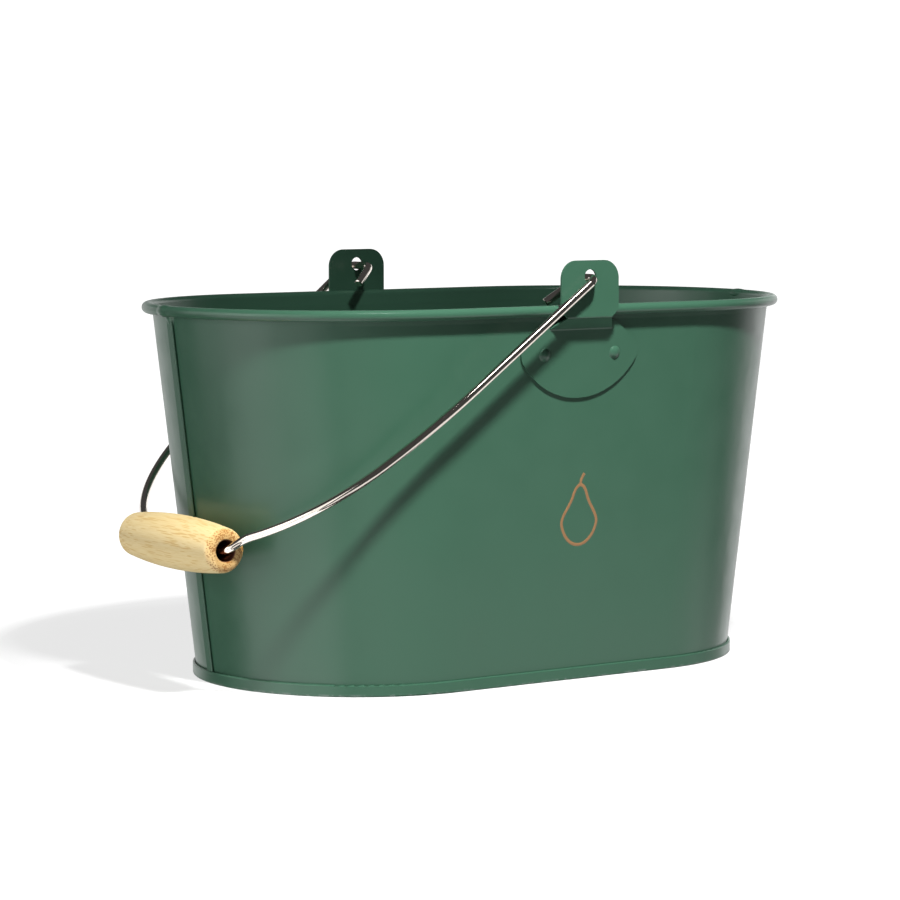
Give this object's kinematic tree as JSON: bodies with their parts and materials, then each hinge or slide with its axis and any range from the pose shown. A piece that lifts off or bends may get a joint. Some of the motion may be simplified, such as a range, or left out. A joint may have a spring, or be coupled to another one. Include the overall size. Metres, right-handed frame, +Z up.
{
  "type": "picking pail",
  "caption": "Oval painted sheet-steel picking pail with a wired rim, riveted ears and a folding wire bail with a turned wooden grip.",
  "frame": {"origin": "middle of the foot, on the surface the pail stands on", "axes": "+Z up; X along the pail's long way, with the lowered bail towards -X; Y across the pail through the two ears"},
  "size_m": [0.3625, 0.2254, 0.2095],
  "materials": {
    "green_paint": "semi-matte dark green powder coat on sheet steel",
    "steel_wire": "plain drawn steel wire, hidden in the curled rim",
    "nickel_wire": "polished nickel-plated steel wire",
    "bamboo": "turned laminated bamboo, thin matte varnish"
  },
  "bodies": {
    "pail": {"wall_front": "green_paint", "wall_back": "green_paint", "base_pan": "green_paint", "rim_wire": "steel_wire", "ear_front": "green_paint", "ear_back": "green_paint", "rivet_front_left": "green_paint", "rivet_front_right": "green_paint", "rivet_back_left": "green_paint", "rivet_back_right": "green_paint"},
    "bail": {"bail_wire": "nickel_wire"},
    "grip": {"grip": "bamboo"}
  },
  "joints": [
    {"name": "bail_swing", "type": "hinge", "parent": "pail", "child": "bail", "pos_m": [0, 0, 0.2008], "axis": [0, 1, 0], "range_deg": [0, 253]},
    {"name": "grip_spin", "type": "hinge", "parent": "bail", "child": "grip", "pos_m": [-0.17283, -0.003, 0.07291], "axis": [0, 1, 0], "continuous": true}
  ]
}
